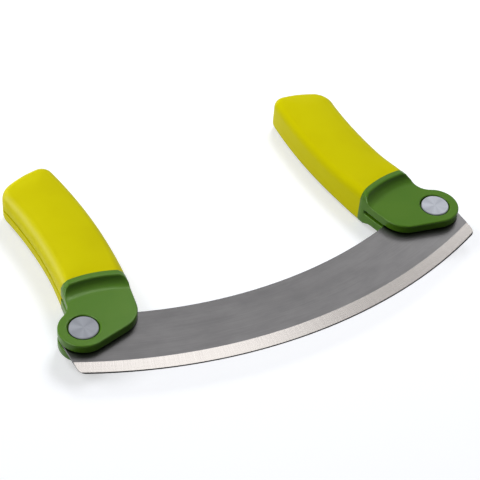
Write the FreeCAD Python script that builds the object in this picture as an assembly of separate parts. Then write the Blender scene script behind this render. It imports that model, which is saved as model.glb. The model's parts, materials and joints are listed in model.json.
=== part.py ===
import FreeCAD, Part
import math
import os

# Folding mezzaluna: a curved blade with a handle hinged on a rivet near each end.
# Millimetres. X runs along the blade, Y from the cutting edge towards the handle ends, Z is up.
# The handles stand square to the blade, and each folds outwards and round
# until the slot in its outer side swallows the cutting edge.

# Blade
pivot_spacing = 200.0
blade_thickness = 1.5
edge_radius = 262.9
edge_reach = 24.0
spine_radius = 223.4
tail_radius = 11.6
spine_margin = 1.4
tip_radius = 5.0
bevel_radius = 265.2
bevel_width = 7.5
bevel_edge_thickness = 0.24
honed_edge_thickness = 0.08
honing_angle = 15.0

# Handle form: bowed sides, a domed end and a rounded shoulder
handle_width = 32.3
handle_thickness = 20.8
handle_bow_radius = 266.0
handle_waist_height = 64.0
handle_inset = 20.0
shoulder_radius = 5.0
end_dome_radius = 70.0
end_inner_corner_radius = 6.5
end_outer_corner_radius = 11.5
meeting_gap = 0.8

# Handle core: collar, scooped ears, tang and blade slot
collar_radius = 56.0
collar_centre_inset = 7.0
collar_centre_drop = 28.6
collar_rim = 3.2
scoop_radius = 6.2
scoop_flats = 6
clevis_thickness = 11.8
boss_radius = 12.4
ear_slope = 13.0
heel_radius = 14.0
notch_radius = 9.0
grip_wall = 3.0
grip_end_wall = 9.0
edge_cover = 22.0
edge_clearance = 0.7
stop_clearance = 0.3
groove_depth = 2.4
groove_top = 17.4

# Swing: lean of a handle at its stop, and how far each stands folded from that stop
stop_lean = 1.7
right_swing = 0.0
left_swing = 3.0

# Pivot: a two-piece rivet and two friction washers
rivet_head_radius = 7.25
rivet_head_thickness = 2.2
rivet_head_chamfer = 0.4
rivet_head_clearance = 0.45
shank_radius = 4.0
running_clearance = 0.05
cap_pin_radius = 2.2
cap_pin_length = 5.0
press_clearance = 0.01
pin_end_clearance = 0.4
washer_radius = 8.5
washer_thickness = 0.25
washer_play = 0.05

cut_overrun = 2.0

# Places that follow from the sizes above
up = FreeCAD.Vector(0, 0, 1)
down = FreeCAD.Vector(0, 0, -1)
pivot_x = pivot_spacing / 2
pivot = FreeCAD.Vector(pivot_x, 0, 0)
slot_width = blade_thickness + 2 * (washer_thickness + washer_play)
edge_pivot_distance = edge_radius - edge_reach
edge_centre = FreeCAD.Vector(0, math.sqrt(edge_pivot_distance**2 - pivot_x**2), 0)
spine_pivot_distance = spine_radius + tail_radius + spine_margin
spine_centre = FreeCAD.Vector(0, math.sqrt(spine_pivot_distance**2 - pivot_x**2), 0)
edge_mid_y = edge_centre.y - edge_radius
bevel_centre = FreeCAD.Vector(0, edge_mid_y + bevel_width + bevel_radius, 0)
bow_centre = FreeCAD.Vector(pivot_x - handle_inset + handle_bow_radius, handle_waist_height, 0)
outer_side_radius = handle_bow_radius - handle_width / 2
inner_side_radius = handle_bow_radius + handle_width / 2
collar_centre = pivot + FreeCAD.Vector(-collar_centre_inset, -collar_centre_drop, 0)
ear_height = clevis_thickness / 2
handle_height = handle_thickness / 2


def direction(degrees):
    angle = math.radians(degrees)
    return FreeCAD.Vector(math.cos(angle), math.sin(angle), 0)


def bearing(vector):
    return math.degrees(math.atan2(vector.y, vector.x))


def line(start, end):
    return Part.LineSegment(start, end).toShape()


def arc(centre, start, end):
    # Arc of less than half a turn from start to end
    middle = (start - centre) + (end - centre)
    middle.normalize()
    return Part.Arc(start, centre + middle * (start - centre).Length, end).toShape()


def upright(edges, height):
    # Prism on a closed outline in the plane Z = 0, centred on that plane
    outline = Part.Wire(Part.__sortEdges__(edges))
    prism = Part.Face(outline).extrude(up * height)
    prism.translate(down * (height / 2))
    return prism


def disc(centre, radius, height):
    return Part.makeCylinder(radius, height, centre + down * (height / 2))


def turned(points, centre):
    # Solid of revolution about an upright axis, from a profile of (radius, height) points
    corners = [centre + FreeCAD.Vector(radius, 0, height) for radius, height in points]
    profile = Part.Face(Part.makePolygon(corners + corners[:1]))
    return profile.revolve(centre, up, 360)


def both_faces(cutter):
    return cutter.fuse(cutter.mirror(FreeCAD.Vector(0, 0, 0), up))


def on_left(shape):
    return shape.mirror(FreeCAD.Vector(0, 0, 0), FreeCAD.Vector(1, 0, 0))


def folded_angle():
    # Turn that lays the cutting edge edge_cover deep in the handle at its waist:
    # the edge's centre is then on a circle round the pivot and on one round that point
    buried = FreeCAD.Vector(bow_centre.x - outer_side_radius - edge_cover, bow_centre.y, 0)
    reach = (buried - pivot).Length
    cosine = (edge_pivot_distance**2 + reach**2 - edge_radius**2) / (2 * edge_pivot_distance * reach)
    folded_bearing = bearing(buried - pivot) - math.degrees(math.acos(cosine))
    return folded_bearing - bearing(edge_centre - pivot) + 360


fold_angle = folded_angle()
folded_edge_centre = pivot + direction(bearing(edge_centre - pivot) + fold_angle) * edge_pivot_distance


def blade_side():
    # Right half of the outline, from the middle of the edge round the tail to the middle of the spine
    end_x = pivot_x + tail_radius
    tip_x = end_x - tip_radius
    tip_y = edge_centre.y - math.sqrt((edge_radius - tip_radius)**2 - tip_x**2)
    tip_centre = FreeCAD.Vector(tip_x, tip_y, 0)
    tip_start = edge_centre + direction(bearing(tip_centre - edge_centre)) * edge_radius
    tip_end = FreeCAD.Vector(end_x, tip_y, 0)
    tail_start = FreeCAD.Vector(end_x, 0, 0)
    lean = math.degrees(math.acos((spine_radius + tail_radius) / spine_pivot_distance))
    across = direction(bearing(pivot - spine_centre) - lean)
    tail_end = pivot - across * tail_radius
    spine_start = spine_centre + across * spine_radius
    return [
        arc(edge_centre, edge_centre + direction(-90) * edge_radius, tip_start),
        arc(tip_centre, tip_start, tip_end),
        line(tip_end, tail_start),
        arc(pivot, tail_start, tail_end),
        line(tail_end, spine_start),
        arc(spine_centre, spine_start, spine_centre + direction(-90) * spine_radius),
    ]


def make_blade():
    right_side = blade_side()
    blade = upright(right_side + [on_left(edge) for edge in right_side], blade_thickness)
    half = blade_thickness / 2
    grind_length = bevel_width + cut_overrun
    grind_slope = (half - bevel_edge_thickness / 2) / bevel_width
    grind = turned([
        (bevel_radius, half),
        (bevel_radius + grind_length, half - grind_slope * grind_length),
        (bevel_radius + grind_length, half + cut_overrun),
        (bevel_radius, half + cut_overrun),
    ], bevel_centre)
    hone_slope = math.tan(math.radians(honing_angle))
    hone_foot = honed_edge_thickness / 2
    hone = turned([
        (edge_radius - cut_overrun, hone_foot + hone_slope * cut_overrun),
        (edge_radius + cut_overrun, hone_foot - hone_slope * cut_overrun),
        (edge_radius + cut_overrun, half + cut_overrun),
        (edge_radius - cut_overrun, half + cut_overrun),
    ], edge_centre)
    pivot_hole = disc(pivot, shank_radius + running_clearance, blade_thickness + cut_overrun)
    for cutter in (both_faces(grind), both_faces(hone), pivot_hole, on_left(pivot_hole)):
        blade = blade.cut(cutter)
    return blade


def on_bow(radius, height):
    # Place at a height on the circle of that radius round the bow's centre
    drop = height - bow_centre.y
    return FreeCAD.Vector(bow_centre.x - math.sqrt(radius**2 - drop**2), height, 0)


def bowed_strip(inset, low, high, thickness):
    # Bar between the handle's two sides, drawn in by the inset, with square ends at two heights
    inner_radius = inner_side_radius - inset
    outer_radius = outer_side_radius + inset
    inner_low = on_bow(inner_radius, low)
    inner_high = on_bow(inner_radius, high)
    outer_low = on_bow(outer_radius, low)
    outer_high = on_bow(outer_radius, high)
    return upright([
        arc(bow_centre, inner_low, inner_high),
        line(inner_high, outer_high),
        arc(bow_centre, outer_high, outer_low),
        line(outer_low, inner_low),
    ], thickness)


end_normal = direction(180 + fold_angle)
end_reach = pivot_x - meeting_gap / 2


def end_apex():
    # Where the handle's centre line meets the plane that the folded handles' ends share
    along = end_normal.dot(bow_centre - pivot) - end_reach
    turn = math.degrees(math.acos(-along / handle_bow_radius))
    return bow_centre + direction(bearing(end_normal) + turn) * handle_bow_radius


def crossing(centre, radius, other_centre, other_radius, side):
    # Where two circles cross, on the left (1) or right (-1) of the way from one centre to the other
    way = other_centre - centre
    cosine = (radius**2 + way.Length**2 - other_radius**2) / (2 * radius * way.Length)
    turn = side * math.degrees(math.acos(cosine))
    return centre + direction(bearing(way) + turn) * radius


def pushed_out(centre, place, radius):
    # The place's foot on a circle of that radius round the centre
    return centre + (place - centre).normalize() * radius


def handle_outline():
    # Inner side, domed end and outer side, with a round corner between each two
    low = -boss_radius - cut_overrun
    dome_centre = end_apex() - end_normal * end_dome_radius
    inner_corner = crossing(
        dome_centre, end_dome_radius - end_inner_corner_radius,
        bow_centre, inner_side_radius - end_inner_corner_radius, 1)
    outer_corner = crossing(
        dome_centre, end_dome_radius - end_outer_corner_radius,
        bow_centre, outer_side_radius + end_outer_corner_radius, 1)
    inner_low = on_bow(inner_side_radius, low)
    inner_end = pushed_out(bow_centre, inner_corner, inner_side_radius)
    dome_start = pushed_out(dome_centre, inner_corner, end_dome_radius)
    dome_end = pushed_out(dome_centre, outer_corner, end_dome_radius)
    outer_end = pushed_out(bow_centre, outer_corner, outer_side_radius)
    outer_low = on_bow(outer_side_radius, low)
    return [
        arc(bow_centre, inner_low, inner_end),
        arc(inner_corner, inner_end, dome_start),
        arc(dome_centre, dome_start, dome_end),
        arc(outer_corner, dome_end, outer_end),
        arc(bow_centre, outer_end, outer_low),
        line(outer_low, inner_low),
    ]


def upright_edge(shape, place):
    # The upright edge nearest to a place in plan
    upright_edges = []
    for edge in shape.Edges:
        ends = [vertex.Point for vertex in edge.Vertexes]
        if len(ends) == 2 and abs(ends[0].z - ends[1].z) > (ends[0] - ends[1]).Length / 2:
            upright_edges.append(edge)

    def distance(edge):
        return (FreeCAD.Vector(edge.CenterOfMass.x, edge.CenterOfMass.y, 0) - place).Length

    return min(upright_edges, key=distance)


def round_rims(shape):
    # The round edges of a handle's level faces, above and below
    rims = []
    for edge in shape.Edges:
        level = abs(edge.BoundBox.Center.z) > handle_height - running_clearance
        if level and isinstance(edge.Curve, Part.Circle):
            rims.append(edge)
    return rims


def make_handle_form():
    # The handle's outline in full thickness, with a shoulder along its sides and round its end.
    # The shoulder is rounded in two flats: a steep one, then one on the corner that it leaves above
    form = upright(handle_outline(), handle_thickness)
    flat_turn = math.radians(90 / 3)
    side_leg = shoulder_radius * (1 - math.tan(flat_turn / 2))
    top_leg = side_leg * math.tan(flat_turn)
    corner_leg = side_leg - top_leg
    for first_leg, second_leg in ((side_leg, top_leg), (corner_leg, corner_leg)):
        form = form.makeChamfer(first_leg, second_leg, round_rims(form))
    return form


def collar_ring():
    # Ring that the collar is cut from: outside it the grip, inside it on both faces the scoop,
    # a cove in flats that rises from the ears to the rim
    rim_radius = collar_radius - collar_rim
    steepest = math.acos(1 - (handle_height - ear_height) / scoop_radius)
    foot_radius = rim_radius - scoop_radius * math.sin(steepest)
    half = []
    for step in range(scoop_flats + 1):
        turn = steepest * step / scoop_flats
        radius = foot_radius + scoop_radius * math.sin(turn)
        half.append((radius, ear_height + scoop_radius * (1 - math.cos(turn))))
    top = handle_height + cut_overrun
    half.append((rim_radius + cut_overrun / math.tan(steepest), top))
    half.append((collar_radius, top))
    return turned(half + [(radius, -height) for radius, height in reversed(half)], collar_centre)


def ear_trim():
    # What lies below the ears: a sloping edge that runs into the boss, and the corner under the boss
    height = clevis_thickness + cut_overrun
    span = pivot_x
    floor = down * (height / 2)
    below_corner = pivot + floor + FreeCAD.Vector(-span, -boss_radius - span, 0)
    below = Part.makeBox(2 * span, span, height, below_corner)
    corner = Part.makeBox(span, span, height, pivot + floor + FreeCAD.Vector(0, -span, 0))
    trim = below.fuse(corner)
    trim.rotate(pivot, down, ear_slope)
    return trim


def make_ears():
    # Both ears as one plate: the handle's sides, a sloping lower edge and the boss round the rivet
    strip = bowed_strip(0, -boss_radius - cut_overrun, collar_radius, clevis_thickness)
    plate = strip.common(disc(collar_centre, collar_radius - collar_rim / 2, clevis_thickness))
    plate = plate.cut(ear_trim()).fuse(disc(pivot, boss_radius, clevis_thickness)).removeSplitter()
    heel = pivot + FreeCAD.Vector(-handle_width, 0, 0)
    plate = plate.makeFillet(heel_radius, [upright_edge(plate, heel)])
    notch = pivot + FreeCAD.Vector(0, boss_radius, 0)
    return plate.makeFillet(notch_radius, [upright_edge(plate, notch)])


def make_core_body(form):
    return make_ears().fuse(form.common(collar_ring())).removeSplitter()


def make_tang():
    # Core of the grip: a bar drawn in by the grip's wall, ending short of the domed end
    tang = bowed_strip(grip_wall, 0, end_apex().y - grip_end_wall, handle_thickness - 2 * grip_wall)
    return tang.cut(disc(collar_centre, collar_radius - collar_rim, handle_thickness))


def folded_pocket():
    # Room for the folded blade: everything on the outer side of its cutting edge
    return disc(folded_edge_centre, edge_radius + edge_clearance, slot_width)


def ear_gap():
    # Room between the ears for the blade as it stands open, below a stop that its spine meets,
    # and a groove up the inner side
    width = handle_width + boss_radius + cut_overrun
    drop = boss_radius + cut_overrun
    corner = pivot + FreeCAD.Vector(-width, -drop, -slot_width / 2)
    room = Part.makeBox(width + drop, drop + groove_top, slot_width, corner)
    to_spine_centre = direction(bearing(spine_centre - pivot) - stop_lean) * spine_pivot_distance
    below_spine = room.cut(disc(pivot + to_spine_centre, spine_radius - stop_clearance, slot_width))
    groove = room.cut(disc(bow_centre, inner_side_radius - groove_depth, slot_width))
    return below_spine.fuse(groove)


def make_core(form):
    core = make_core_body(form).fuse(make_tang()).removeSplitter()
    core = core.cut(folded_pocket()).cut(ear_gap())
    core = core.cut(disc(pivot, shank_radius + running_clearance, clevis_thickness + cut_overrun))
    seat_radius = rivet_head_radius + rivet_head_clearance
    seat_depth = rivet_head_thickness + cut_overrun
    seat = Part.makeCylinder(seat_radius, seat_depth, pivot + up * (ear_height - rivet_head_thickness))
    return core.cut(both_faces(seat))


def make_grip(form):
    grip = form.cut(disc(collar_centre, collar_radius, handle_thickness + cut_overrun))
    return grip.cut(make_tang()).cut(folded_pocket())


def rivet_head():
    # Disc that lies flush in the ear, with a chamfered rim
    foot = ear_height - rivet_head_thickness
    return turned([
        (0, foot),
        (rivet_head_radius, foot),
        (rivet_head_radius, ear_height - rivet_head_chamfer),
        (rivet_head_radius - rivet_head_chamfer, ear_height),
        (0, ear_height),
    ], pivot)


def make_rivet_post():
    # Upper head on a hollow shank that the ears and the blade turn on
    seat = ear_height - rivet_head_thickness
    length = 2 * seat - pin_end_clearance
    shank = Part.makeCylinder(shank_radius, length, pivot + up * (seat - length))
    bore_length = cap_pin_length + pin_end_clearance
    bore = Part.makeCylinder(cap_pin_radius + press_clearance, bore_length, pivot + down * seat)
    return rivet_head().fuse(shank).cut(bore).removeSplitter()


def make_rivet_cap():
    # Lower head with the pin that is pressed into the hollow shank
    seat = ear_height - rivet_head_thickness
    head = rivet_head().mirror(pivot, up)
    pin = Part.makeCylinder(cap_pin_radius, cap_pin_length, pivot + down * seat)
    return head.fuse(pin).removeSplitter()


def make_washer():
    # Thin slip ring between the blade and the upper ear
    foot = slot_width / 2 - washer_thickness
    ring = Part.makeCylinder(washer_radius, washer_thickness, pivot + up * foot)
    hole = Part.makeCylinder(shank_radius + running_clearance, washer_thickness, pivot + up * foot)
    return ring.cut(hole)


def make_parts():
    form = make_handle_form()
    upper_washer = make_washer()
    right_side = {
        "handle_core": make_core(form),
        "grip": make_grip(form),
        "rivet_post": make_rivet_post(),
        "rivet_cap": make_rivet_cap(),
        "upper_washer": upper_washer,
        "lower_washer": upper_washer.mirror(pivot, up),
    }
    pieces = {"blade": make_blade()}
    for name, shape in right_side.items():
        pieces["right_" + name] = shape.rotated(pivot, up, stop_lean - right_swing)
        pieces["left_" + name] = on_left(shape.rotated(pivot, up, stop_lean - left_swing))
    return pieces


def main():
    # The origin is the middle of the footprint, on the level that the handles lie on
    os.makedirs("parts", exist_ok=True)
    pieces = make_parts()
    grips = [pieces["left_grip"], pieces["right_grip"]]
    far_y = max(grip.optimalBoundingBox(False, False).YMax for grip in grips)
    origin = FreeCAD.Vector(0, (far_y + edge_mid_y) / 2, -handle_height)
    for name, shape in pieces.items():
        shape.translate(FreeCAD.Vector(0, 0, 0) - origin)
        shape.exportStep("parts/" + name + ".step")
        volume = round(shape.Volume, 1)
        print(name, "solids", len(shape.Solids), "valid", shape.isValid(), "volume", volume)
    travel = fold_angle + stop_lean
    print("pivot", pivot - origin, "travel from the stop", round(travel, 2), "far end", round(far_y, 3))


main()
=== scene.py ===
import json
import math

import bmesh
import bpy
import numpy as np
from mathutils import Matrix, Vector


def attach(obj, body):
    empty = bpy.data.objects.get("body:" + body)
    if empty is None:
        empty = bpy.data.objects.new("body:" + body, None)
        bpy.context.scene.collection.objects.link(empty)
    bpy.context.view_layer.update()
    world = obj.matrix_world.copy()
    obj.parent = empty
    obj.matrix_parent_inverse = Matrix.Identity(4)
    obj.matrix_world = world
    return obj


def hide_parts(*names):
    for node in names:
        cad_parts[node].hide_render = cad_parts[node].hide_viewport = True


# Folding mezzaluna: steel blade and rivets, green handle cores, soft yellow grips, a white studio
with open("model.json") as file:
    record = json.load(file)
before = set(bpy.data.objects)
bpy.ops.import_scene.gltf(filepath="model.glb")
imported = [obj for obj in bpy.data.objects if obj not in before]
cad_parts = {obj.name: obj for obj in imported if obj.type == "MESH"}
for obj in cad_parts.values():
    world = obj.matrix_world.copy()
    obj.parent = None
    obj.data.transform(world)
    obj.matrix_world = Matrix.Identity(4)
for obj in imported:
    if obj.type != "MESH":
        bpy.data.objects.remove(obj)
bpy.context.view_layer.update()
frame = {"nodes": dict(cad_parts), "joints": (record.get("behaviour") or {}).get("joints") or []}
nodes = frame["nodes"]
joints = {joint["child"]: joint for joint in frame["joints"]}
pivots = {body: np.array(joint["pos_m"]) for body, joint in joints.items()}
pivotX, pivotY, bladeLevel = pivots["right_handle"]
sides = ("left", "right")
millimetres = 1000  # in a metre
print("frame loaded,", len(nodes), "nodes")


screenCurve = {"lineEnd": 0.04045, "lineSlope": 12.92, "lift": 0.055, "power": 2.4}


def tone(red, green, blue):
    # colour of a screen value, 0 to 255, as the shader takes it: a straight line near black, then a power
    share = np.array([red, green, blue]) / 255
    line = share / screenCurve["lineSlope"]
    curve = ((share + screenCurve["lift"]) / (1 + screenCurve["lift"])) ** screenCurve["power"]
    return (*np.where(share <= screenCurve["lineEnd"], line, curve).tolist(), 1.0)


def addNode(tree, kind, settings=None, **inputs):
    # a node, its settings, and each input linked or set; in0, in1 ... name an input by its place
    made = tree.nodes.new(kind)
    for key, value in (settings or {}).items():
        setattr(made, key, value)
    for key, value in inputs.items():
        socket = made.inputs[int(key[2:]) if key[2:].isdigit() else key]
        if isinstance(value, bpy.types.NodeSocket):
            tree.links.new(value, socket)
        else:
            socket.default_value = value
    return made


def sums(tree, operation, first, second):
    return addNode(tree, "ShaderNodeMath", {"operation": operation}, in0=first, in1=second).outputs[0]


def vectorSums(tree, operation, **inputs):
    # a length and a dot product come out as a number, the rest as a vector
    made = addNode(tree, "ShaderNodeVectorMath", {"operation": operation}, **inputs)
    return made.outputs["Value" if operation in ("LENGTH", "DOT_PRODUCT") else "Vector"]


def weighed(tree, first, second, firstShare):
    # two values in shares that add up to 1
    firstPart = sums(tree, "MULTIPLY", first, firstShare)
    return sums(tree, "ADD", firstPart, sums(tree, "MULTIPLY", second, 1 - firstShare))


def ramped(tree, value, low, high, outLow=0.0, outHigh=1.0):
    # soft step from outLow at low to outHigh at high
    made = addNode(tree, "ShaderNodeMapRange", {"interpolation_type": "SMOOTHSTEP"},
                   in0=value, in1=low, in2=high, in3=outLow, in4=outHigh)
    return made.outputs[0]


def joined(tree, x, y):
    return addNode(tree, "ShaderNodeCombineXYZ", X=x, Y=y).outputs[0]


def noise(tree, vector, scale, detail=2.0, roughness=0.5):
    made = addNode(tree, "ShaderNodeTexNoise",
                   Vector=vector, Scale=scale, Detail=detail, Roughness=roughness)
    return made.outputs["Fac"]


def blended(tree, share, first, second):
    # the Mix node takes colours at its inputs 6 and 7, and gives one at its output 2
    made = addNode(tree, "ShaderNodeMix", {"data_type": "RGBA"}, in0=share, in6=first, in7=second)
    return made.outputs[2]


def polar(tree, vector):
    # distance from the upright axis and angle round it
    parts = addNode(tree, "ShaderNodeSeparateXYZ", Vector=vector)
    x = parts.outputs[0]
    y = parts.outputs[1]
    return vectorSums(tree, "LENGTH", in0=joined(tree, x, y)), sums(tree, "ARCTAN2", y, x)


def startMaterial(name, centre=(0.0, 0.0, 0.0)):
    # principled surface, and the object's own coordinates measured from a centre
    material = bpy.data.materials.new(name)
    material.use_nodes = True
    tree = material.node_tree
    tree.nodes.clear()
    surface = addNode(tree, "ShaderNodeBsdfPrincipled")
    output = addNode(tree, "ShaderNodeOutputMaterial")
    tree.links.new(surface.outputs[0], output.inputs["Surface"])
    place = addNode(tree, "ShaderNodeTexCoord").outputs["Object"]
    centred = addNode(tree, "ShaderNodeMapping", Vector=place, Location=[-value for value in centre])
    return material, tree, surface, centred.outputs[0]


def setRoughness(tree, surface, base, grain, amount):
    rough = sums(tree, "ADD", base, sums(tree, "MULTIPLY", grain, amount))
    tree.links.new(rough, surface.inputs["Roughness"])


bumpDepth = 0.0001  # metres


def addBump(tree, surface, height, strength):
    bump = addNode(tree, "ShaderNodeBump", Height=height, Strength=strength, Distance=bumpDepth)
    tree.links.new(bump.outputs[0], surface.inputs["Normal"])


bladeForm = {  # metres
    # the honed width is that of a strip painted dark along the cutting edge: painted shade and dark
    # reflection over a real honed edge
    "edgeRadius": 0.2629, "edgeReach": 0.024, "honedShadeWidth": 0.0006,
    "bevelRadius": 0.2652, "bevelWidth": 0.0075,
}
# the two arcs' centres, measured along Y from the line between the pivots
edgeToPivot = bladeForm["edgeRadius"] - bladeForm["edgeReach"]
edgeCentreY = math.sqrt(edgeToPivot**2 - pivotX**2)
bevelCentreY = edgeCentreY - bladeForm["edgeRadius"] + bladeForm["bevelWidth"] + bladeForm["bevelRadius"]
bladeFinish = {
    "flat": tone(89, 88, 89), "flatLight": tone(99, 98, 99), "flatRoughness": 0.32,
    # the bevel's tones are lighter than the flat's, partly for the real cross-ground finish and partly as
    # painted reflection
    "bevel": tone(157, 153, 150), "bevelDark": tone(149, 145, 142), "bevelRoughness": 0.24,
    # the honed tone is painted shade, a dark strip standing for the shadow and dark reflection along the
    # cutting edge
    "honedShade": tone(38, 37, 38), "bevelSoft": 0.00015, "honedShadeSoft": 0.0001,
    # streaks: scale along the arc, scale across it, detail
    "grain": (6.0, 1400.0, 4.0), "cloud": (14.0, 130.0, 3.0), "grind": (900.0, 40.0, 3.0),
    "streakRoughness": 0.6, "grainShare": 0.4, "flatSpread": (0.3, 0.7), "bevelSpread": (0.25, 0.75),
    "grainGloss": 0.05, "grainBump": 0.03,
}


def makeBladeSteel():
    # satin flat with a faint grain along the blade, a cross-ground bevel made lighter partly as painted
    # reflection, and a thin honed edge painted dark as painted shade
    finish = bladeFinish
    material, tree, surface, centred = startMaterial("bladeSteel", (0.0, pivotY + bevelCentreY, 0.0))
    reach, angle = polar(tree, centred)

    def streaks(kind):
        # noise on the angle and the distance, each with its own scale
        alongScale, acrossScale, detail = finish[kind]
        along = sums(tree, "MULTIPLY", angle, alongScale)
        across = sums(tree, "MULTIPLY", reach, acrossScale)
        return noise(tree, joined(tree, along, across), 1.0, detail, finish["streakRoughness"])

    def beyond(distance, radius, soft):
        # 0 within a radius and 1 outside it
        return ramped(tree, distance, radius - soft, radius + soft)

    grain = streaks("grain")
    mixed = weighed(tree, grain, streaks("cloud"), finish["grainShare"])
    flatShare = ramped(tree, mixed, *finish["flatSpread"])
    flatTone = blended(tree, flatShare, finish["flat"], finish["flatLight"])
    bevelShare = ramped(tree, streaks("grind"), *finish["bevelSpread"])
    # grind streaks on a tone lightened partly as painted reflection
    bevelGrindAndReflection = blended(tree, bevelShare, finish["bevelDark"], finish["bevel"])
    onBevel = beyond(reach, bladeForm["bevelRadius"], finish["bevelSoft"])
    toEdgeCentre = (0.0, bevelCentreY - edgeCentreY, 0.0)
    edgeDistance, _ = polar(tree, vectorSums(tree, "ADD", in0=centred, in1=toEdgeCentre))
    # the strip along the cutting edge is painted shade
    onShadedEdge = beyond(edgeDistance, bladeForm["edgeRadius"] - bladeForm["honedShadeWidth"], finish["honedShadeSoft"])
    colour = blended(tree, onShadedEdge, blended(tree, onBevel, flatTone, bevelGrindAndReflection), finish["honedShade"])
    tree.links.new(colour, surface.inputs["Base Color"])
    surface.inputs["Metallic"].default_value = 1.0
    base = ramped(tree, onBevel, 0.0, 1.0, finish["flatRoughness"], finish["bevelRoughness"])
    setRoughness(tree, surface, base, grain, finish["grainGloss"])
    addBump(tree, surface, grain, finish["grainBump"])
    return material


rivetFinish = {
    # the light and dark tones carry both the real turned rings and a painted highlight fan
    "light": tone(170, 173, 181), "dark": tone(138, 141, 149), "spread": (0.3, 0.7),
    "roughness": 0.25, "anisotropy": 0.65, "ringScale": 7000.0, "ringRoughness": 0.6, "ringShare": 0.4,
    "ringGloss": 0.08, "ringBump": 0.08, "paintedSheenScale": 0.9, "paintedSheenDetail": 1.0,
}


def makeRivetSteel(side):
    # turned head: fine rings round its axis, a fan of light and dark sectors painted as the spun head's
    # highlights, and a gloss drawn out across the rings
    finish = rivetFinish
    material, tree, surface, centred = startMaterial(side + "RivetSteel", tuple(pivots[side + "_handle"]))
    reach, _ = polar(tree, centred)
    ringPlace = joined(tree, sums(tree, "MULTIPLY", reach, finish["ringScale"]), 0.0)
    rings = noise(tree, ringPlace, 1.0, roughness=finish["ringRoughness"])
    level = vectorSums(tree, "MULTIPLY", in0=centred, in1=(1.0, 1.0, 0.0))
    # painted highlight: light and dark sectors round the axis stand for the spun head's highlights
    fan = noise(tree, vectorSums(tree, "NORMALIZE", in0=level), finish["paintedSheenScale"], finish["paintedSheenDetail"])
    share = ramped(tree, weighed(tree, rings, fan, finish["ringShare"]), *finish["spread"])
    colour = blended(tree, share, finish["dark"], finish["light"])
    tree.links.new(colour, surface.inputs["Base Color"])
    surface.inputs["Metallic"].default_value = 1.0
    setRoughness(tree, surface, finish["roughness"], rings, finish["ringGloss"])
    surface.inputs["Anisotropic"].default_value = finish["anisotropy"]
    ringWay = vectorSums(tree, "CROSS_PRODUCT", in0=(0.0, 0.0, 1.0), in1=centred)
    toWorld = {"vector_type": "VECTOR", "convert_from": "OBJECT", "convert_to": "WORLD"}
    tangent = addNode(tree, "ShaderNodeVectorTransform", toWorld, in0=ringWay)
    tree.links.new(tangent.outputs[0], surface.inputs["Tangent"])
    addBump(tree, surface, rings, finish["ringBump"])
    return material


coreFinish = {  # satin green moulding
    "deep": tone(68, 110, 10), "bright": tone(72, 113, 14), "roughness": 0.28, "specular": 0.22,
    "cloudScale": 60.0, "cloudDetail": 2.0, "cloudSpread": (0.35, 0.65),
    "grainScale": 5200.0, "grainGloss": 0.08, "grainBump": 0.06,
}
gripFinish = {  # smooth soft-touch skin, matt
    "deep": tone(198, 190, 0), "bright": tone(201, 194, 1), "roughness": 0.42, "specular": 0.07,
    "cloudScale": 45.0, "cloudDetail": 3.0, "cloudSpread": (0.35, 0.65),
    "grainScale": 4200.0, "grainGloss": 0.1, "grainBump": 0.08,
}


def makeMoulding(name, finish):
    # moulded plastic: a faint cloud in the colour and a very fine spark grain
    material, tree, surface, place = startMaterial(name)
    cloud = noise(tree, place, finish["cloudScale"], finish["cloudDetail"])
    colour = blended(tree, ramped(tree, cloud, *finish["cloudSpread"]), finish["deep"], finish["bright"])
    tree.links.new(colour, surface.inputs["Base Color"])
    grain = noise(tree, place, finish["grainScale"])
    setRoughness(tree, surface, finish["roughness"], grain, finish["grainGloss"])
    surface.inputs["Specular IOR Level"].default_value = finish["specular"]
    addBump(tree, surface, grain, finish["grainBump"])
    return material


washerFinish = {
    "white": tone(238, 237, 231), "shade": tone(224, 223, 216), "roughness": 0.5, "cloudScale": 900.0,
}


def makeWasherNylon():
    # plain slip ring, a little uneven in its white
    material, tree, surface, place = startMaterial("washerNylon")
    cloud = noise(tree, place, washerFinish["cloudScale"])
    colour = blended(tree, cloud, washerFinish["shade"], washerFinish["white"])
    tree.links.new(colour, surface.inputs["Base Color"])
    surface.inputs["Roughness"].default_value = washerFinish["roughness"]
    return material


bladeSteel = makeBladeSteel()
corePlastic = makeMoulding("corePlastic", coreFinish)
gripSkin = makeMoulding("gripSkin", gripFinish)
washerNylon = makeWasherNylon()
rivetSteel = {side: makeRivetSteel(side) for side in sides}
print("materials made")


def dress(name, material):
    obj = nodes[name]
    obj.data.materials.clear()
    obj.data.materials.append(material)


dress("blade", bladeSteel)
for side in sides:
    dress(side + "_handle_core", corePlastic)
    dress(side + "_grip", gripSkin)
    for piece in ("rivet_post", "rivet_cap"):
        dress(side + "_" + piece, rivetSteel[side])
    for piece in ("upper_washer", "lower_washer"):
        dress(side + "_" + piece, washerNylon)
print("nodes dressed")


handleForm = {  # millimetres from the pivot of the right handle, as it stands square to the blade
    "bowCentre": (246.0, 64.0), "bowRadius": 266.0, "width": 32.3, "thickness": 20.8,
    "collarCentre": (-7.0, -28.6), "collarRadius": 56.0,
    "domeRadius": 70.0, "innerCorner": 6.5, "outerCorner": 11.5, "meetingGap": 0.8,
    "stopLean": 1.7, "leftSwing": 3.0,  # degrees
}
foldAngle = joints["right_handle"]["range_deg"][1] - handleForm["stopLean"]


def placeHandle(points, side):
    # right-hand millimetres from the pivot to the frame's metres:
    # lean about the pivot, mirror for the left, shift
    lean = math.radians(handleForm["stopLean"] - (handleForm["leftSwing"] if side == "left" else 0.0))
    x = points[:, 0] * math.cos(lean) - points[:, 1] * math.sin(lean)
    y = points[:, 0] * math.sin(lean) + points[:, 1] * math.cos(lean)
    flip = -1.0 if side == "left" else 1.0
    return np.column_stack((flip * x, y, points[:, 2])) / millimetres + pivots[side + "_handle"]


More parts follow.
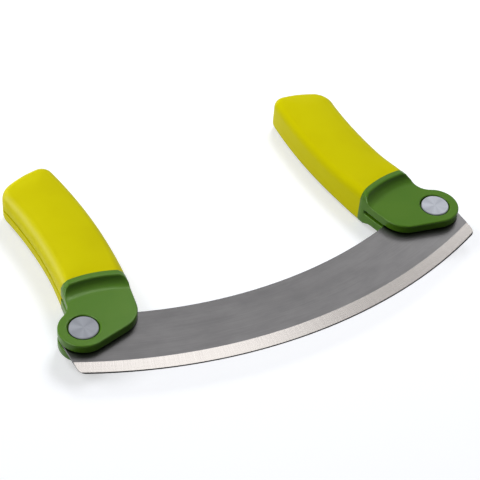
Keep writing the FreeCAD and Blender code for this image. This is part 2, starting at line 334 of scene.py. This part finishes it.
def towards(degrees):
    # unit vector at an angle from +X
    angle = np.radians(degrees)
    return np.stack((np.cos(angle), np.sin(angle)), -1)


def crossing(centre, radius, otherCentre, otherRadius):
    # where two circles cross, anticlockwise of the line to the other centre: cosine rule at the first
    way = np.asarray(otherCentre) - centre
    reach = np.hypot(*way)
    turn = np.arccos((radius**2 + reach**2 - otherRadius**2) / (2 * radius * reach))
    return centre + radius * towards(np.degrees(np.arctan2(way[1], way[0]) + turn))


def sweep(centre, start, end, count):
    # count places on the shorter arc from start to end
    first = np.arctan2(*(np.asarray(start) - centre)[::-1])
    last = np.arctan2(*(np.asarray(end) - centre)[::-1])
    turn = (last - first + np.pi) % (2 * np.pi) - np.pi
    radius = np.hypot(*(np.asarray(start) - centre))
    angles = first + turn * np.linspace(0, 1, count)
    return centre + radius * np.stack((np.cos(angles), np.sin(angles)), -1)


gripForm = {  # millimetres
    "innerShoulder": 4.4, "endShoulder": 4.2, "outerShoulder": 5.6, "collarShoulder": 5.0, "crown": 0.85,
    "slotHalf": 0.88, "slotRadius": 263.55, "slotLip": 0.2, "slotDepthGuess": 20.0, "seam": 0.04,
    "spineShort": 0.012,  # radians round the bow by which the spine ends before the corners
    "lipShare": 0.29,  # place of the middle of the slot lip's round
    "easeShare": 0.3,  # part of the body over which the shoulder leaves the collar's
    "rowShare": 0.5, "rowPower": 1.6,  # the body's rows lie closer towards the collar
    "bodyRows": 56, "fanRows": 6, "cornerRows": 14, "domeRows": 16, "mouthRows": 2, "slotRounds": 4,
    "sideColumns": 4, "shoulderColumns": 12, "topColumns": 14,
}


def gripSurface():
    # Upper half of a grip: a profile carried along the handle's outline. The profile runs through
    # slot floor, slot wall, side and shoulder, then over the top to the spine.
    # On the body a place is a distance from the bow's centre and an angle round it. The angle runs
    # from the collar's arc, which is a different angle at each distance, to the end of the spine.
    # Round the end a place is the outline plus an inset.
    form = handleForm
    grip = gripForm
    bow = np.array(form["bowCentre"])
    innerRadius = form["bowRadius"] + form["width"] / 2
    outerRadius = form["bowRadius"] - form["width"] / 2
    half = form["thickness"] / 2
    domeRadius = form["domeRadius"]

    # far end: a dome whose apex meets the other handle's when both are folded, and its two corners
    endWay = towards(180 + foldAngle)
    along = endWay @ bow - (millimetres * pivotX - form["meetingGap"] / 2)
    apexTurn = np.degrees(np.arctan2(endWay[1], endWay[0]) + np.arccos(-along / form["bowRadius"]))
    apex = bow + form["bowRadius"] * towards(apexTurn)
    dome = apex - endWay * domeRadius
    innerRound = form["innerCorner"]
    outerRound = form["outerCorner"]
    innerCorner = crossing(dome, domeRadius - innerRound, bow, innerRadius - innerRound)
    outerCorner = crossing(dome, domeRadius - outerRound, bow, outerRadius + outerRound)

    def pushed(centre, place, radius):
        # place moved along its line from the centre, out to that radius
        way = place - centre
        return centre + way / np.hypot(*way) * radius

    innerEnd = pushed(bow, innerCorner, innerRadius)
    domeStart = pushed(dome, innerCorner, domeRadius)
    domeEnd = pushed(dome, outerCorner, domeRadius)
    outerEnd = pushed(bow, outerCorner, outerRadius)

    def bowAngle(place):
        return np.arctan2(place[1] - bow[1], bow[0] - place[0])

    def onBow(radius, angle):
        return np.stack((bow[0] - radius * np.cos(angle), bow[1] + radius * np.sin(angle)), -1)

    spineEndAngle = min(bowAngle(innerEnd), bowAngle(outerEnd)) - grip["spineShort"]
    spineEnd = onBow(form["bowRadius"], spineEndAngle)
    collarWay = np.array(form["collarCentre"]) - bow
    collarReach = np.hypot(*collarWay)
    collarTurn = np.arctan2(collarWay[1], -collarWay[0])
    collarRadius = form["collarRadius"] + grip["seam"]

    def collarAngle(radius):
        # angle round the bow where the collar's arc is at that distance: cosine rule
        cosine = (radius**2 + collarReach**2 - collarRadius**2) / (2 * radius * collarReach)
        return collarTurn + np.arccos(cosine)

    # the slot's floor follows the folded cutting edge
    edgeBearing = np.degrees(np.arctan2(edgeCentreY, -pivotX))
    edgeCentre = millimetres * edgeToPivot * towards(edgeBearing + foldAngle)
    slotCross = crossing(dome, domeRadius, edgeCentre, grip["slotRadius"])

    # columns as shares of the side, the shoulder's turn and the way across the top; rows along the body
    sideShare = np.linspace(0, 1, grip["sideColumns"] + 2)[1:-1]
    turn = np.linspace(0, np.pi / 2, grip["shoulderColumns"])
    across = np.linspace(0, 1, grip["topColumns"] + 1)[1:]
    evenShare = np.linspace(0, 1, grip["bodyRows"])
    bodyShare = grip["rowShare"] * evenShare + (1 - grip["rowShare"]) * evenShare ** grip["rowPower"]

    def profile(shoulder, crown, mouth):
        # inset and height for each row: slot lip, side and shoulder; mouth is 1 where the slot is open
        lip = grip["slotLip"]
        lipMiddle = grip["lipShare"] * lip
        lipTop = grip["slotHalf"] + lip
        lipInset = np.outer(mouth, [lip, lipMiddle, 0.0])
        lipHeight = np.tile([grip["slotHalf"], grip["slotHalf"] + lipMiddle, lipTop], (len(shoulder), 1))
        foot = half - crown - shoulder
        sideHeight = lipTop + np.outer(foot - lipTop, sideShare)
        inset = np.hstack((lipInset, np.zeros_like(sideHeight), np.outer(shoulder, 1 - np.cos(turn))))
        height = np.hstack((lipHeight, sideHeight, foot[:, None] + np.outer(shoulder, np.sin(turn))))
        return inset, height

    def withSlot(height, topHeight):
        # the slot's floor at mid thickness and the top of its wall, before the profile's heights
        rows = len(height)
        floorHeight = np.zeros((rows, 1))
        wallHeight = np.full((rows, 1), grip["slotHalf"])
        return np.hstack((floorHeight, wallHeight, height, topHeight))

    def slotFloor():
        # distance at which each row meets the folded edge's circle, drawn nearer in a few rounds
        floor = np.full(len(bodyShare), outerRadius + grip["slotDepthGuess"])
        for _ in range(grip["slotRounds"]):
            start = collarAngle(floor)
            angle = start + bodyShare * (spineEndAngle - start)
            way = np.stack((-np.cos(angle), np.sin(angle)), -1)
            lean = way @ (bow - edgeCentre)
            gap = (bow - edgeCentre) @ (bow - edgeCentre)
            floor = -lean + np.sqrt(lean**2 - gap + grip["slotRadius"] ** 2)
        return floor

    def bodyRows(outer):
        # one side of the body, from the collar to the end of the spine; the slot is in the outer side
        shoulderEnd = grip["outerShoulder"] if outer else grip["innerShoulder"]
        ease = np.clip(bodyShare / grip["easeShare"], 0, 1)
        ease = ease * ease * (3 - 2 * ease)
        shoulder = grip["collarShoulder"] + (shoulderEnd - grip["collarShoulder"]) * ease
        crown = grip["crown"] * ease
        inset, height = profile(shoulder, crown, np.full(len(bodyShare), 1.0 if outer else 0.0))
        radius = outerRadius + inset if outer else innerRadius - inset
        topRadius = radius[:, -1:] + (form["bowRadius"] - radius[:, -1:]) * across
        topHeight = half - crown[:, None] * (1 - across) ** 2
        floor = slotFloor() if outer else np.full(len(bodyShare), innerRadius)
        radius = np.hstack((floor[:, None], floor[:, None], radius, topRadius))
        start = collarAngle(radius)
        plan = onBow(radius, start + bodyShare[:, None] * (spineEndAngle - start))
        return np.concatenate((plan, withSlot(height, topHeight)[..., None]), -1)

    def endRows(floorEnd):
        # round the far end: inner side, corner, dome, corner, outer side, fanned out from the spine's end
        fan = grip["fanRows"]
        corner = grip["cornerRows"]
        cap = grip["domeRows"]
        path = np.concatenate((
            onBow(innerRadius, np.linspace(spineEndAngle, bowAngle(innerEnd), fan))[1:],
            sweep(innerCorner, innerEnd, domeStart, corner)[1:],
            sweep(dome, domeStart, slotCross, cap)[1:],
            sweep(dome, slotCross, domeEnd, cap)[1:],
            sweep(outerCorner, domeEnd, outerEnd, corner)[1:],
            onBow(outerRadius, np.linspace(bowAngle(outerEnd), spineEndAngle, fan))[1:-1],
        ))
        centres = np.concatenate((
            np.tile(bow, (fan - 1, 1)),
            np.tile(innerCorner, (corner - 1, 1)),
            np.tile(dome, (2 * cap - 2, 1)),
            np.tile(outerCorner, (corner - 1, 1)),
            np.tile(bow, (fan - 2, 1)),
        ))
        inward = centres - path
        inward[-(fan - 2):] *= -1  # the outer side is hollow
        inward /= np.hypot(inward[:, 0], inward[:, 1])[:, None]
        rows = len(path)
        closed = fan + corner + cap - 3  # rows up to where the slot begins
        shoulders = [grip["innerShoulder"], grip["endShoulder"], grip["outerShoulder"]]
        shoulder = np.interp(np.linspace(0, 1, rows), [0, 0.5, 1], shoulders)
        mouth = np.clip((np.arange(rows) - closed + 1) / grip["mouthRows"], 0, 1)
        inset, height = profile(shoulder, np.full(rows, grip["crown"]), mouth)
        plan = path[:, None, :] + inset[..., None] * inward[:, None, :]
        top = plan[:, -1:, :] + (spineEnd - plan[:, -1:, :]) * across[:, None]
        topHeight = np.tile(half - grip["crown"] * (1 - across) ** 2, (rows, 1))
        floorRun = sweep(edgeCentre, slotCross, floorEnd, rows - closed + 2)[1:-1]
        floor = np.concatenate((path[:closed], floorRun))
        plan = np.concatenate((floor[:, None], floor[:, None], plan, top), 1)
        return np.concatenate((plan, withSlot(height, topHeight)[..., None]), -1)

    outerBody = bodyRows(True)
    return np.concatenate((bodyRows(False), endRows(outerBody[-1, 0, :2]), outerBody[::-1]))


gripMesh = {"mergeDistance": 2e-6, "sliver": 1e-6, "sharpAngle": 40.0}  # metres and degrees


def gridMesh(name, grids, side):
    # quads between neighbouring rows and columns of each grid, merged where they meet
    points = []
    faces = []
    for grid in grids:
        rows, columns = grid.shape[:2]
        first = sum(len(block) for block in points)
        index = first + np.arange(rows * columns).reshape(rows, columns)
        quads = np.stack((index[:-1, :-1], index[1:, :-1], index[1:, 1:], index[:-1, 1:]), -1)
        points.append(grid.reshape(-1, 3))
        faces.append(quads.reshape(-1, 4))
    mesh = bpy.data.meshes.new(name)
    places = placeHandle(np.concatenate(points), side)
    mesh.from_pydata(places.tolist(), [], np.concatenate(faces).tolist())
    shell = bmesh.new()
    shell.from_mesh(mesh)
    bmesh.ops.remove_doubles(shell, verts=shell.verts, dist=gripMesh["mergeDistance"])
    bmesh.ops.dissolve_degenerate(shell, edges=shell.edges, dist=gripMesh["sliver"])
    rim = [edge for edge in shell.edges if edge.is_boundary]
    bmesh.ops.holes_fill(shell, edges=rim, sides=0)
    bmesh.ops.recalc_face_normals(shell, faces=shell.faces)
    shell.to_mesh(mesh)
    shell.free()
    mesh.shade_smooth()
    mesh.set_sharp_from_angle(angle=math.radians(gripMesh["sharpAngle"]))
    obj = bpy.data.objects.new(name, mesh)
    bpy.context.scene.collection.objects.link(obj)
    return obj


gripPieces = {}
upperHalf = gripSurface()
lowerHalf = upperHalf * np.array([1.0, 1.0, -1.0])
for side in sides:
    grip = gridMesh(side + "GripSkin", [upperHalf, lowerHalf], side)
    grip.data.materials.append(gripSkin)
    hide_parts(side + "_grip")
    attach(grip, side + "_handle")
    gripPieces[side] = grip
    print(grip.name, len(grip.data.polygons), "faces")


coreForm = {  # metres and degrees
    "edgeRound": 0.0008, "segments": 4, "sharpAngle": 50.0, "flatAngle": 0.4, "mergeDistance": 1e-6,
}


def softCore(side):
    # the core's own solid, merged, its flat faces joined, and each sharp edge outside the grip
    # given a moulded round
    mesh = nodes[side + "_handle_core"].data.copy()
    mesh.name = side + "CoreMoulding"
    sharp = math.radians(coreForm["sharpAngle"])
    flat = math.radians(coreForm["flatAngle"])
    collar = placeHandle(np.array([[*handleForm["collarCentre"], 0.0]]), side)[0, :2]
    rim = (handleForm["collarRadius"] - gripForm["seam"]) / millimetres
    shell = bmesh.new()
    shell.from_mesh(mesh)
    bmesh.ops.remove_doubles(shell, verts=shell.verts, dist=coreForm["mergeDistance"])
    bmesh.ops.dissolve_limit(shell, angle_limit=flat, verts=shell.verts, edges=shell.edges)
    weight = shell.edges.layers.float.new("bevel_weight_edge")
    for edge in shell.edges:
        reach = min(math.dist(vertex.co.xy, collar) for vertex in edge.verts)
        edge[weight] = float(reach < rim and edge.calc_face_angle(0.0) > sharp)
    shell.to_mesh(mesh)
    shell.free()
    mesh.shade_smooth()
    mesh.set_sharp_from_angle(angle=sharp)
    obj = bpy.data.objects.new(side + "CoreMoulding", mesh)
    bpy.context.scene.collection.objects.link(obj)
    bevel = obj.modifiers.new("mouldedEdges", "BEVEL")
    bevel.width = coreForm["edgeRound"]
    bevel.segments = coreForm["segments"]
    bevel.limit_method = "WEIGHT"
    bevel.use_clamp_overlap = False
    even = obj.modifiers.new("evenShading", "WEIGHTED_NORMAL")
    even.keep_sharp = True
    return obj


corePieces = {}
for side in sides:
    core = softCore(side)
    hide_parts(side + "_handle_core")
    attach(core, side + "_handle")
    corePieces[side] = core
    print(core.name, len(core.data.polygons), "faces before its rounds")


white = (1.0, 1.0, 1.0, 1.0)
stageLook = {  # ramps: metres from the middle of the floor, and share of the way to the back of the sky
    "size": 6.0, "floor": (0.65, 0.67, 0.72, 1.0), "glow": 0.55, "glowRamp": (0.2, 0.85),
    "sky": 0.12, "front": 0.45, "skyBack": (0.0, 0.6, 0.8), "skyRamp": (-0.1, 0.6),
}


def shownWhite(tree):
    # 1 for what the camera, a gloss or a clear piece sees, 0 for the light that falls on the object
    path = addNode(tree, "ShaderNodeLightPath").outputs
    clear = sums(tree, "MAXIMUM", path["Is Glossy Ray"], path["Is Transmission Ray"])
    return sums(tree, "MAXIMUM", path["Is Camera Ray"], clear)


def makeFloor():
    # a white sheet: it takes the shadow, and shows the rest of its white to the camera and to reflections
    half = stageLook["size"] / 2
    corners = [(-half, -half, 0), (half, -half, 0), (half, half, 0), (-half, half, 0)]
    mesh = bpy.data.meshes.new("floorSheet")
    mesh.from_pydata(corners, [], [(0, 1, 2, 3)])
    floor = bpy.data.objects.new("floorSheet", mesh)
    bpy.context.scene.collection.objects.link(floor)
    material = bpy.data.materials.new("floorWhite")
    material.use_nodes = True
    tree = material.node_tree
    tree.nodes.clear()
    matt = addNode(tree, "ShaderNodeBsdfDiffuse", Color=stageLook["floor"])
    reach, _ = polar(tree, addNode(tree, "ShaderNodeTexCoord").outputs["Object"])
    strength = ramped(tree, reach, *stageLook["glowRamp"], stageLook["glow"], 1.0)
    glow = addNode(tree, "ShaderNodeEmission", Strength=sums(tree, "MULTIPLY", shownWhite(tree), strength))
    both = addNode(tree, "ShaderNodeAddShader", in0=matt.outputs[0], in1=glow.outputs[0])
    tree.links.new(both.outputs[0], addNode(tree, "ShaderNodeOutputMaterial").inputs["Surface"])
    mesh.materials.append(material)


def makeSky():
    # white to the camera; in a gloss white behind and above, and dimmer in front, as in a studio
    world = bpy.data.worlds.new("studio")
    bpy.context.scene.world = world
    world.use_nodes = True
    tree = world.node_tree
    tree.nodes.clear()
    way = addNode(tree, "ShaderNodeTexCoord").outputs["Generated"]
    back = vectorSums(tree, "DOT_PRODUCT", in0=way, in1=stageLook["skyBack"])
    mirrored = ramped(tree, back, *stageLook["skyRamp"], stageLook["front"], 1.0)
    seen = addNode(tree, "ShaderNodeLightPath").outputs["Is Camera Ray"]
    shown = addNode(tree, "ShaderNodeBackground", Color=white, Strength=sums(tree, "MAXIMUM", seen, mirrored))
    soft = addNode(tree, "ShaderNodeBackground", Color=white, Strength=stageLook["sky"])
    mix = addNode(tree, "ShaderNodeMixShader",
                  in0=shownWhite(tree), in1=soft.outputs[0], in2=shown.outputs[0])
    tree.links.new(mix.outputs[0], addNode(tree, "ShaderNodeOutputWorld").inputs["Surface"])


# Square panels aimed at the origin: place and side in metres, power in watts, kind of light,
# what it falls on, and what throws a shadow in it where that isn't everything
lamps = {
    "topPanel": {"place": (0.46, 0.45, 0.93), "size": 0.4, "power": 5.1, "gives": "matt", "on": "all",
                 "shadowOf": "handles"},
    "fillPanel": {"place": (0.42, 0.4, 0.98), "size": 0.45, "power": 1.9, "gives": "matt", "on": "all"},
    "keyPanel": {"place": (-0.42, 0.6, 0.75), "size": 0.35, "power": 3.4, "gives": "matt", "on": "all",
                 "shadowOf": "handles"},
    "leftPanel": {"place": (-0.88, 0.36, 0.38), "size": 0.5, "power": 5.4, "gives": "matt", "on": "handles"},
    "sheenPanel": {"place": (-0.74, 0.6, 0.36), "size": 0.5, "power": 16.0, "gives": "gloss",
                   "on": "leftGrip"},
    "edgePanel": {"place": (-0.72, 0.0, 0.62), "size": 0.6, "power": 8.0, "gives": "gloss", "on": "cores"},
    "scoopPanel": {"place": (0.44, 0.3, 0.95), "size": 0.6, "power": 6.0, "gives": "gloss", "on": "leftCore"},
    "bevelPanel": {"place": (0.27, 0.46, 0.97), "size": 0.4, "power": 1.35, "gives": "gloss", "on": "blade"},
    "flatPanel": {"place": (0.68, 0.55, 0.65), "size": 0.25, "power": 0.8, "gives": "gloss", "on": "blade"},
    "rivetPanel": {"place": (0.68, 0.55, 0.65), "size": 0.25, "power": 0.23, "gives": "gloss",
                   "on": "rivets"},
}


def gathered(name, pieces):
    group = bpy.data.collections.new(name)
    for piece in pieces:
        group.objects.link(piece)
    return group


def makeLamps():
    # matt light doesn't show in a gloss, and gloss light doesn't fall on a matt surface
    lit = {
        "leftGrip": [gripPieces["left"]],
        "leftCore": [corePieces["left"]],
        "cores": [*corePieces.values()],
        "handles": [*gripPieces.values(), *corePieces.values()],
        "blade": [nodes["blade"]],
        "rivets": [nodes[side + "_rivet_" + end] for side in sides for end in ("post", "cap")],
    }
    for name, lamp in lamps.items():
        data = bpy.data.lights.new(name, "AREA")
        data.shape = "SQUARE"
        data.size = lamp["size"]
        data.energy = lamp["power"]
        obj = bpy.data.objects.new(name, data)
        obj.location = lamp["place"]
        obj.rotation_euler = Vector(lamp["place"]).to_track_quat("Z", "Y").to_euler()
        obj.visible_glossy = lamp["gives"] != "matt"
        obj.visible_diffuse = lamp["gives"] != "gloss"
        bpy.context.scene.collection.objects.link(obj)
        if lamp["on"] != "all":
            obj.light_linking.receiver_collection = gathered(name + "Lights", lit[lamp["on"]])
        if "shadowOf" in lamp:
            obj.light_linking.blocker_collection = gathered(name + "Shadows", lit[lamp["shadowOf"]])


cameraView = {  # metres from the middle between the pivots; right and down are the picture's own ways
    "place": (-0.3089, -0.45652, 0.54491), "lens": 117.02, "sensor": 36.0,
    "right": (0.87258, -0.48425, 0.06409), "down": (-0.29496, -0.62693, -0.72108),
}


def makeCamera():
    # the picture's right, its up squared to that, and the way back out of it are the camera's axes
    data = bpy.data.cameras.new("photoCamera")
    data.lens = cameraView["lens"]
    data.sensor_width = cameraView["sensor"]
    camera = bpy.data.objects.new("photoCamera", data)
    right = Vector(cameraView["right"]).normalized()
    up = -Vector(cameraView["down"])
    up = (up - right * up.dot(right)).normalized()
    turn = Matrix((right, up, right.cross(up))).transposed().to_4x4()
    place = Vector(cameraView["place"]) + Vector((0.0, pivotY, bladeLevel))
    camera.matrix_world = Matrix.Translation(place) @ turn
    bpy.context.scene.collection.objects.link(camera)
    bpy.context.scene.camera = camera


makeFloor()
makeSky()
makeLamps()
makeCamera()
bpy.context.scene.view_settings.view_transform = "Standard"
print("stage, lamps and camera set")
